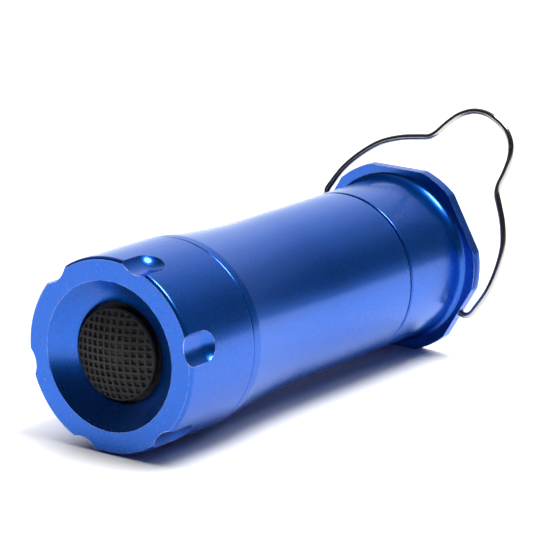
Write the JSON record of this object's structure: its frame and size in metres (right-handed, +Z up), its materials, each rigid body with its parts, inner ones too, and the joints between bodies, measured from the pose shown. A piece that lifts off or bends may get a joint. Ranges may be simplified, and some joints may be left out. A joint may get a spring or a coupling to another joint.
{
  "type": "pull-out lantern flashlight",
  "caption": "Waisted aluminium flashlight with screw-on tail cap, push-button, sliding lantern head, hexagonal anti-roll flange and swinging wire bail.",
  "frame": {"origin": "centre of the flange flat that the light lies on, on the surface it rests on", "axes": "+Y along the light from tail to lens, +Z up, +X to the right seen from the tail"},
  "size_m": [0.0381, 0.096, 0.044],
  "materials": {
    "blue_anodised": "fine bead-blasted satin, blue anodised, worn pale on sharp edges",
    "bail_wire": "polished nickel-plated spring wire",
    "boot_rubber": "matte rubber with a waffle of square pits",
    "seal_rubber": "smooth nitrile rubber",
    "clear_plastic": "clear polycarbonate",
    "white_plastic": "moulded acetal",
    "black_plastic": "moulded ABS",
    "mirror_coat": "vacuum-metallised plastic",
    "bare_aluminium": "turned, uncoated",
    "brass": "turned",
    "spring_steel": "drawn wire",
    "circuit_board": "glass-fibre board with solder mask",
    "cell_jacket": "plain printed jacket with no lettering",
    "phosphor": "yellow phosphor under a clear dome"
  },
  "bodies": {
    "body": {"body_tube": "blue_anodised", "tail_o_ring": "seal_rubber", "battery_tube": "bare_aluminium", "cartridge_frame": "black_plastic", "cartridge_rear_contact": "brass", "cartridge_front_contact": "brass", "cell_1": "cell_jacket", "cell_2": "cell_jacket", "cell_3": "cell_jacket", "cell_spring_1": "spring_steel", "cell_spring_2": "spring_steel", "cell_spring_3": "spring_steel", "front_contact_spring": "spring_steel", "led_heatsink": "bare_aluminium", "led_board": "circuit_board", "led_emitter": "phosphor"},
    "head": {"head_shell": "blue_anodised", "lantern_tube": "clear_plastic", "glide_band": "white_plastic", "reflector": "mirror_coat", "lens": "clear_plastic", "lens_gasket": "seal_rubber", "lens_retaining_ring": "blue_anodised"},
    "bail": {"bail": "bail_wire"},
    "cap_carrier": {"tail_contact_spring": "spring_steel"},
    "cap": {"tail_cap": "blue_anodised", "boot_skirt": "boot_rubber", "switch_housing": "black_plastic", "switch_spacer": "black_plastic", "switch_board": "circuit_board", "switch_retaining_ring": "brass", "switch_return_spring": "spring_steel"},
    "button": {"boot_dome": "boot_rubber", "switch_plunger": "white_plastic"}
  },
  "joints": [
    {"name": "lantern_pull", "type": "slide", "parent": "body", "child": "head", "axis": [0, 1, 0], "range_m": [0, 0.026]},
    {"name": "bail_swing", "type": "hinge", "parent": "head", "child": "bail", "pos_m": [0, 0, 0.0165], "axis": [0.866, 0, -0.5], "range_deg": [-215, 69]},
    {"name": "cap_advance", "type": "slide", "parent": "body", "child": "cap_carrier", "axis": [0, -1, 0], "range_m": [0, 0.005]},
    {"name": "cap_turn", "type": "hinge", "parent": "cap_carrier", "child": "cap", "pos_m": [0, -0.0775, 0.0165], "axis": [0, -1, 0], "range_deg": [0, 1800]},
    {"name": "button_press", "type": "slide", "parent": "cap", "child": "button", "axis": [0, 1, 0], "range_m": [0, 0.0015], "stiffness_N_per_m": 1200, "springref_m": -0.001, "deforming": ["switch_return_spring"]}
  ],
  "couplings": [
    {"joint": "cap_turn", "follows": "cap_advance", "rad_per_m": 6283.2}
  ]
}
